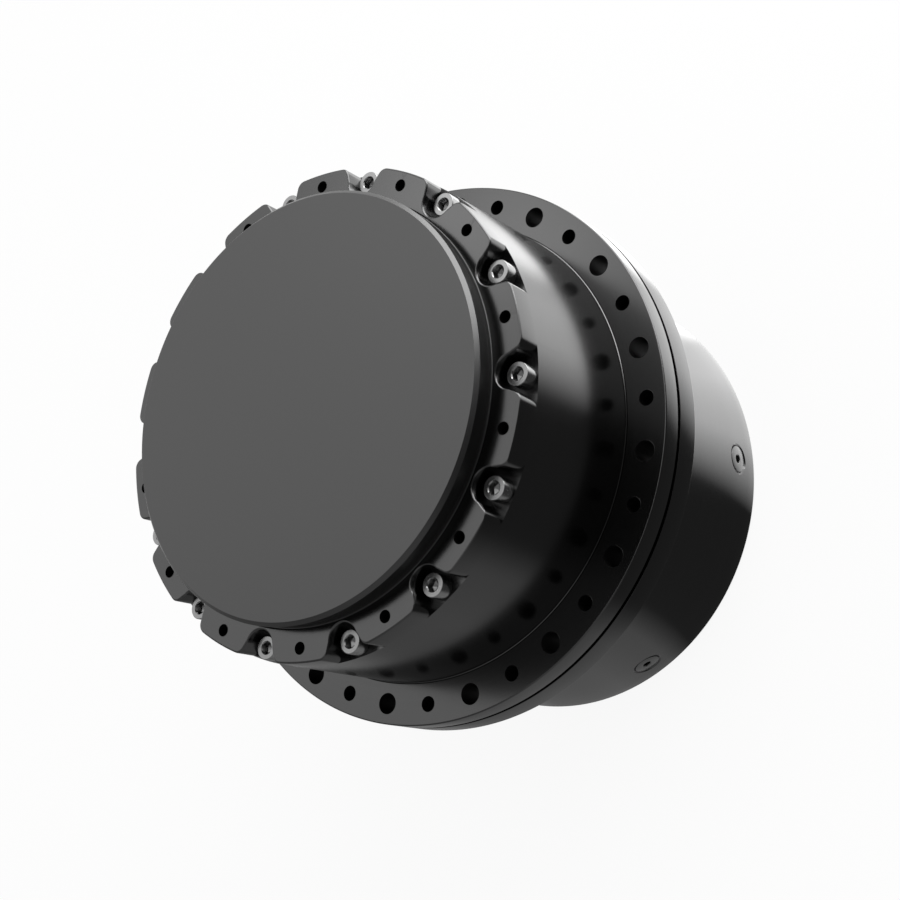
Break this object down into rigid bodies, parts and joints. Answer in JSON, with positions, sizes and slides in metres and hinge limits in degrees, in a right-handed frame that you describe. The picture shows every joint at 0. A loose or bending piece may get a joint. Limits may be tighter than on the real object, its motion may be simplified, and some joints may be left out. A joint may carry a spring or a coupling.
{
  "type": "brushless servo motor",
  "caption": "Round robot joint servo with a mounting flange, a turning output drum with a tapped ring face and a plain front disc, built with motor, gearbox and driver board inside.",
  "frame": {"origin": "centre of the rear face", "axes": "+Z along the motor axis from the rear face to the front disc; +X points at a cap screw of the output drum and at a small flange hole, which line up at rest"},
  "size_m": [0.1226, 0.1226, 0.103],
  "materials": {
    "black_anodised": "satin black anodised",
    "disc_grey": "fine matt dark grey anodised",
    "inner_alloy": "machined",
    "bright_steel": "satin zinc",
    "black_steel": "black oxide",
    "hard_steel": "ground",
    "bronze": "sintered bronze",
    "lamination": "stacked sheet",
    "copper": "enamelled copper",
    "magnet": "nickel plated",
    "seal_rubber": "soft",
    "board_green": "solder mask",
    "chip_black": "moulded",
    "capacitor_sleeve": "shrink sleeve",
    "connector_plastic": "moulded nylon",
    "insulator": "film"
  },
  "bodies": {
    "housing": {"rear_housing": "black_anodised", "gearbox_flange": "black_anodised", "flange_screws": "black_steel", "output_seal": "seal_rubber", "rear_cover": "black_anodised", "cover_screws": "black_steel", "driver_board": "board_green", "board_screws": "bright_steel", "encoder_chip": "chip_black", "power_transistors": "chip_black", "bus_capacitors": "capacitor_sleeve", "controller_chip": "chip_black", "power_connector": "connector_plastic", "signal_connectors": "connector_plastic", "phase_leads": "insulator", "stator_core": "lamination", "stator_insulators": "insulator", "winding_u": "copper", "winding_v": "copper", "winding_w": "copper", "rear_bearing_outer": "hard_steel", "front_bearing_outer": "hard_steel", "race_inner": "hard_steel", "planet_carrier": "inner_alloy", "carrier_screws": "bright_steel", "planet_pins": "hard_steel", "carrier_cover": "inner_alloy", "post_screws": "bright_steel"},
    "output": {"output_drum": "black_anodised", "clamp_ring": "inner_alloy", "tie_screws": "bright_steel", "race_outer": "hard_steel", "ring_gear": "hard_steel", "ring_gear_screws": "bright_steel", "front_cap": "disc_grey", "cap_seal": "seal_rubber", "cap_screws": "bright_steel"},
    "rotor": {"sun_shaft": "hard_steel", "encoder_magnet": "magnet", "rotor_core": "inner_alloy", "rotor_magnets": "magnet", "rear_bearing_inner": "hard_steel", "front_bearing_inner": "hard_steel"},
    "planet_1": {"planet_gear_1": "hard_steel", "planet_bush_1": "bronze"},
    "planet_2": {"planet_gear_2": "hard_steel", "planet_bush_2": "bronze"},
    "planet_3": {"planet_gear_3": "hard_steel", "planet_bush_3": "bronze"},
    "roller_set": {"crossed_rollers": "hard_steel"},
    "rear_ball_set": {"rear_balls": "hard_steel"},
    "front_ball_set": {"front_balls": "hard_steel"}
  },
  "joints": [
    {"name": "output_spin", "type": "hinge", "parent": "housing", "child": "output", "pos_m": [0, 0, 0.098], "axis": [0, 0, 1], "continuous": true},
    {"name": "rotor_spin", "type": "hinge", "parent": "housing", "child": "rotor", "pos_m": [0, 0, 0.034], "axis": [0, 0, 1], "continuous": true},
    {"name": "planet_1_spin", "type": "hinge", "parent": "housing", "child": "planet_1", "pos_m": [0.0225, 0, 0.0749], "axis": [0, 0, 1], "continuous": true},
    {"name": "planet_2_spin", "type": "hinge", "parent": "housing", "child": "planet_2", "pos_m": [-0.01125, 0.01949, 0.0749], "axis": [0, 0, 1], "continuous": true},
    {"name": "planet_3_spin", "type": "hinge", "parent": "housing", "child": "planet_3", "pos_m": [-0.01125, -0.01949, 0.0749], "axis": [0, 0, 1], "continuous": true},
    {"name": "roller_spin", "type": "hinge", "parent": "housing", "child": "roller_set", "pos_m": [0, 0, 0.0588], "axis": [0, 0, 1], "continuous": true},
    {"name": "rear_ball_spin", "type": "hinge", "parent": "housing", "child": "rear_ball_set", "pos_m": [0, 0, 0.0205], "axis": [0, 0, 1], "continuous": true},
    {"name": "front_ball_spin", "type": "hinge", "parent": "housing", "child": "front_ball_set", "pos_m": [0, 0, 0.0489], "axis": [0, 0, 1], "continuous": true}
  ],
  "couplings": [
    {"joint": "rotor_spin", "follows": "output_spin", "ratio": -5},
    {"joint": "planet_1_spin", "follows": "output_spin", "ratio": 2.5},
    {"joint": "planet_2_spin", "follows": "output_spin", "ratio": 2.5},
    {"joint": "planet_3_spin", "follows": "output_spin", "ratio": 2.5},
    {"joint": "roller_spin", "follows": "output_spin", "ratio": 0.5165},
    {"joint": "rear_ball_spin", "follows": "output_spin", "ratio": -2.1164},
    {"joint": "front_ball_spin", "follows": "output_spin", "ratio": -2.1164}
  ]
}
